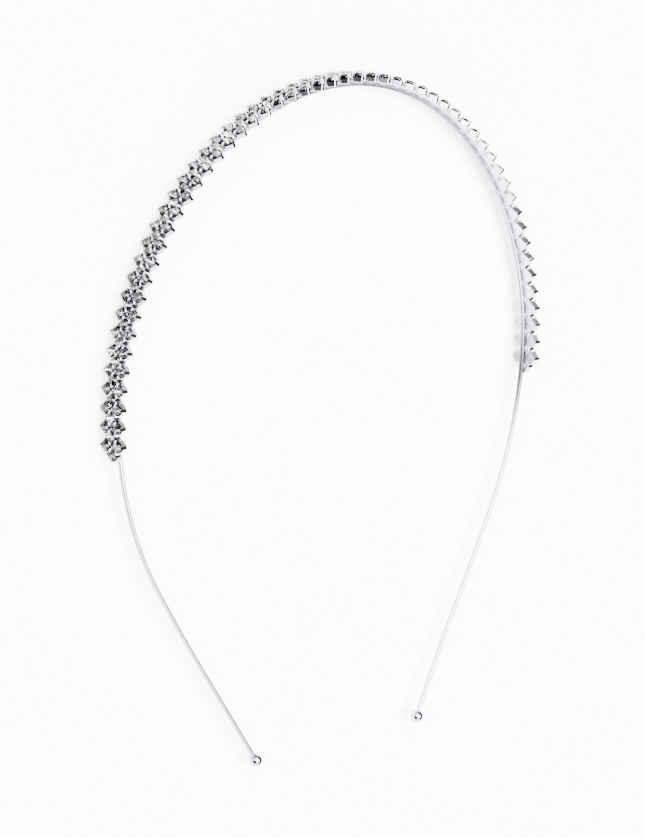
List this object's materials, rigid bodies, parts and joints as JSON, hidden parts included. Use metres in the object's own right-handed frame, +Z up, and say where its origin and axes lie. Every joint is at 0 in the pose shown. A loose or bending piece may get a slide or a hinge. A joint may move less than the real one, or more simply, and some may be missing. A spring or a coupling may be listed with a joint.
{
  "type": "crystal headband",
  "caption": "Springy wire headband with ball tips and a narrow band of three staggered rows of faceted crystals in square claw cups over its crown.",
  "frame": {"origin": "middle of the bounding box at floor level, with the headband lying on its side", "axes": "+Z up from the floor across the width of the crystal band, +Y from the ball tips to the crown, +X along the width of the arch"},
  "size_m": [0.1282, 0.154, 0.0071],
  "materials": {
    "wire_steel": "bright silver-plated spring steel wire, drawn smooth",
    "ball_metal": "mirror-bright plated brass",
    "cup_metal": "bright silver-plated stamped brass",
    "crystal_glass": "clear cut crystal with a foiled back"
  },
  "bodies": {
    "root": {"frame_wire": "wire_steel", "ball_tip_left": "ball_metal", "ball_tip_right": "ball_metal", "claw_cups": "cup_metal", "crystals": "crystal_glass"}
  },
  "joints": []
}
